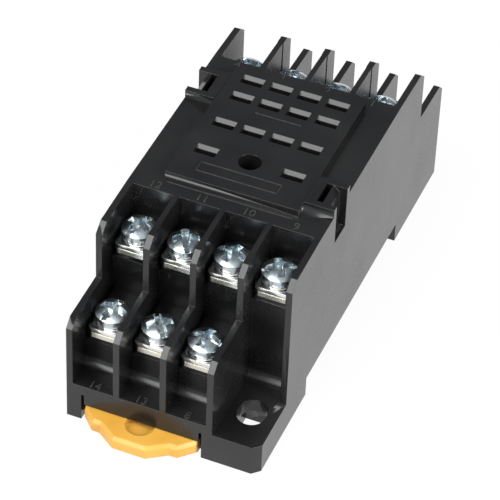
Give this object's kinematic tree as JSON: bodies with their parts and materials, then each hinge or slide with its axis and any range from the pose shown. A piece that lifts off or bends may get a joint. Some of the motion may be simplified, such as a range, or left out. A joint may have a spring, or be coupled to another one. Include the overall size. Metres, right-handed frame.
{
  "type": "relay socket",
  "caption": "Screw-terminal relay socket: black moulded housing with two-tier terminals between barrier fins, slotted relay plate, clip towers, diagonal ears and a sprung amber rail latch.",
  "frame": {"origin": "middle of the seat face that meets the crown of the rail, under the middle of the housing", "axes": "+Z away from the rail, along the relay's pins and the screws; +Y along the length, away from the latch; +X across"},
  "size_m": [0.0296, 0.0762, 0.0293],
  "materials": {
    "black_moulding": "semi-gloss",
    "amber_moulding": "satin",
    "plated_screw": "bright zinc plate",
    "plated_clamp": "bright zinc plate",
    "tinned_contact": "tinned",
    "spring_steel": "satin"
  },
  "bodies": {
    "base": {"housing": "black_moulding", "base_cover": "black_moulding", "latch_spring": "spring_steel", "contact_1": "tinned_contact", "contact_2": "tinned_contact", "contact_3": "tinned_contact", "contact_4": "tinned_contact", "contact_5": "tinned_contact", "contact_6": "tinned_contact", "contact_7": "tinned_contact", "contact_8": "tinned_contact", "contact_9": "tinned_contact", "contact_10": "tinned_contact", "contact_11": "tinned_contact", "contact_12": "tinned_contact", "contact_13": "tinned_contact", "contact_14": "tinned_contact"},
    "latch": {"rail_latch": "amber_moulding"},
    "clamp_1": {"clamp_1": "plated_clamp"},
    "screw_1": {"terminal_screw_1": "plated_screw"},
    "clamp_2": {"clamp_2": "plated_clamp"},
    "screw_2": {"terminal_screw_2": "plated_screw"},
    "clamp_3": {"clamp_3": "plated_clamp"},
    "screw_3": {"terminal_screw_3": "plated_screw"},
    "clamp_4": {"clamp_4": "plated_clamp"},
    "screw_4": {"terminal_screw_4": "plated_screw"},
    "clamp_5": {"clamp_5": "plated_clamp"},
    "screw_5": {"terminal_screw_5": "plated_screw"},
    "clamp_6": {"clamp_6": "plated_clamp"},
    "screw_6": {"terminal_screw_6": "plated_screw"},
    "clamp_7": {"clamp_7": "plated_clamp"},
    "screw_7": {"terminal_screw_7": "plated_screw"},
    "clamp_8": {"clamp_8": "plated_clamp"},
    "screw_8": {"terminal_screw_8": "plated_screw"},
    "clamp_9": {"clamp_9": "plated_clamp"},
    "screw_9": {"terminal_screw_9": "plated_screw"},
    "clamp_10": {"clamp_10": "plated_clamp"},
    "screw_10": {"terminal_screw_10": "plated_screw"},
    "clamp_11": {"clamp_11": "plated_clamp"},
    "screw_11": {"terminal_screw_11": "plated_screw"},
    "clamp_12": {"clamp_12": "plated_clamp"},
    "screw_12": {"terminal_screw_12": "plated_screw"},
    "clamp_13": {"clamp_13": "plated_clamp"},
    "screw_13": {"terminal_screw_13": "plated_screw"},
    "clamp_14": {"clamp_14": "plated_clamp"},
    "screw_14": {"terminal_screw_14": "plated_screw"}
  },
  "joints": [
    {"name": "latch_pull", "type": "slide", "parent": "base", "child": "latch", "axis": [0, -1, 0], "range_m": [0, 0.0035], "stiffness_N_per_m": 1500, "springref_m": -0.002, "deforming": ["latch_spring"]},
    {"name": "clamp_lift_1", "type": "slide", "parent": "base", "child": "clamp_1", "axis": [0, 0, 1], "range_m": [0, 0.002]},
    {"name": "screw_turn_1", "type": "hinge", "parent": "clamp_1", "child": "screw_1", "pos_m": [-0.01065, -0.0204, 0.018], "axis": [0, 0, 1], "range_deg": [0, 1440]},
    {"name": "clamp_lift_2", "type": "slide", "parent": "base", "child": "clamp_2", "axis": [0, 0, 1], "range_m": [0, 0.002]},
    {"name": "screw_turn_2", "type": "hinge", "parent": "clamp_2", "child": "screw_2", "pos_m": [-0.00355, -0.0204, 0.018], "axis": [0, 0, 1], "range_deg": [0, 1440]},
    {"name": "clamp_lift_3", "type": "slide", "parent": "base", "child": "clamp_3", "axis": [0, 0, 1], "range_m": [0, 0.002]},
    {"name": "screw_turn_3", "type": "hinge", "parent": "clamp_3", "child": "screw_3", "pos_m": [0.00355, -0.0204, 0.018], "axis": [0, 0, 1], "range_deg": [0, 1440]},
    {"name": "clamp_lift_4", "type": "slide", "parent": "base", "child": "clamp_4", "axis": [0, 0, 1], "range_m": [0, 0.002]},
    {"name": "screw_turn_4", "type": "hinge", "parent": "clamp_4", "child": "screw_4", "pos_m": [0.01065, -0.0204, 0.018], "axis": [0, 0, 1], "range_deg": [0, 1440]},
    {"name": "clamp_lift_5", "type": "slide", "parent": "base", "child": "clamp_5", "axis": [0, 0, 1], "range_m": [0, 0.002]},
    {"name": "screw_turn_5", "type": "hinge", "parent": "clamp_5", "child": "screw_5", "pos_m": [-0.01065, -0.02915, 0.0093], "axis": [0, 0, 1], "range_deg": [0, 1440]},
    {"name": "clamp_lift_6", "type": "slide", "parent": "base", "child": "clamp_6", "axis": [0, 0, 1], "range_m": [0, 0.002]},
    {"name": "screw_turn_6", "type": "hinge", "parent": "clamp_6", "child": "screw_6", "pos_m": [-0.00355, -0.02915, 0.0093], "axis": [0, 0, 1], "range_deg": [0, 1440]},
    {"name": "clamp_lift_7", "type": "slide", "parent": "base", "child": "clamp_7", "axis": [0, 0, 1], "range_m": [0, 0.002]},
    {"name": "screw_turn_7", "type": "hinge", "parent": "clamp_7", "child": "screw_7", "pos_m": [0.00355, -0.02915, 0.0093], "axis": [0, 0, 1], "range_deg": [0, 1440]},
    {"name": "clamp_lift_8", "type": "slide", "parent": "base", "child": "clamp_8", "axis": [0, 0, 1], "range_m": [0, 0.002]},
    {"name": "screw_turn_8", "type": "hinge", "parent": "clamp_8", "child": "screw_8", "pos_m": [-0.01065, 0.0188, 0.018], "axis": [0, 0, 1], "range_deg": [0, 1440]},
    {"name": "clamp_lift_9", "type": "slide", "parent": "base", "child": "clamp_9", "axis": [0, 0, 1], "range_m": [0, 0.002]},
    {"name": "screw_turn_9", "type": "hinge", "parent": "clamp_9", "child": "screw_9", "pos_m": [-0.00355, 0.0188, 0.018], "axis": [0, 0, 1], "range_deg": [0, 1440]},
    {"name": "clamp_lift_10", "type": "slide", "parent": "base", "child": "clamp_10", "axis": [0, 0, 1], "range_m": [0, 0.002]},
    {"name": "screw_turn_10", "type": "hinge", "parent": "clamp_10", "child": "screw_10", "pos_m": [0.00355, 0.0188, 0.018], "axis": [0, 0, 1], "range_deg": [0, 1440]},
    {"name": "clamp_lift_11", "type": "slide", "parent": "base", "child": "clamp_11", "axis": [0, 0, 1], "range_m": [0, 0.002]},
    {"name": "screw_turn_11", "type": "hinge", "parent": "clamp_11", "child": "screw_11", "pos_m": [0.01065, 0.0188, 0.018], "axis": [0, 0, 1], "range_deg": [0, 1440]},
    {"name": "clamp_lift_12", "type": "slide", "parent": "base", "child": "clamp_12", "axis": [0, 0, 1], "range_m": [0, 0.002]},
    {"name": "screw_turn_12", "type": "hinge", "parent": "clamp_12", "child": "screw_12", "pos_m": [-0.00355, 0.02915, 0.0093], "axis": [0, 0, 1], "range_deg": [0, 1440]},
    {"name": "clamp_lift_13", "type": "slide", "parent": "base", "child": "clamp_13", "axis": [0, 0, 1], "range_m": [0, 0.002]},
    {"name": "screw_turn_13", "type": "hinge", "parent": "clamp_13", "child": "screw_13", "pos_m": [0.00355, 0.02915, 0.0093], "axis": [0, 0, 1], "range_deg": [0, 1440]},
    {"name": "clamp_lift_14", "type": "slide", "parent": "base", "child": "clamp_14", "axis": [0, 0, 1], "range_m": [0, 0.002]},
    {"name": "screw_turn_14", "type": "hinge", "parent": "clamp_14", "child": "screw_14", "pos_m": [0.01065, 0.02915, 0.0093], "axis": [0, 0, 1], "range_deg": [0, 1440]}
  ],
  "couplings": [
    {"joint": "screw_turn_1", "follows": "clamp_lift_1", "rad_per_m": 12566},
    {"joint": "screw_turn_2", "follows": "clamp_lift_2", "rad_per_m": 12566},
    {"joint": "screw_turn_3", "follows": "clamp_lift_3", "rad_per_m": 12566},
    {"joint": "screw_turn_4", "follows": "clamp_lift_4", "rad_per_m": 12566},
    {"joint": "screw_turn_5", "follows": "clamp_lift_5", "rad_per_m": 12566},
    {"joint": "screw_turn_6", "follows": "clamp_lift_6", "rad_per_m": 12566},
    {"joint": "screw_turn_7", "follows": "clamp_lift_7", "rad_per_m": 12566},
    {"joint": "screw_turn_8", "follows": "clamp_lift_8", "rad_per_m": 12566},
    {"joint": "screw_turn_9", "follows": "clamp_lift_9", "rad_per_m": 12566},
    {"joint": "screw_turn_10", "follows": "clamp_lift_10", "rad_per_m": 12566},
    {"joint": "screw_turn_11", "follows": "clamp_lift_11", "rad_per_m": 12566},
    {"joint": "screw_turn_12", "follows": "clamp_lift_12", "rad_per_m": 12566},
    {"joint": "screw_turn_13", "follows": "clamp_lift_13", "rad_per_m": 12566},
    {"joint": "screw_turn_14", "follows": "clamp_lift_14", "rad_per_m": 12566}
  ]
}
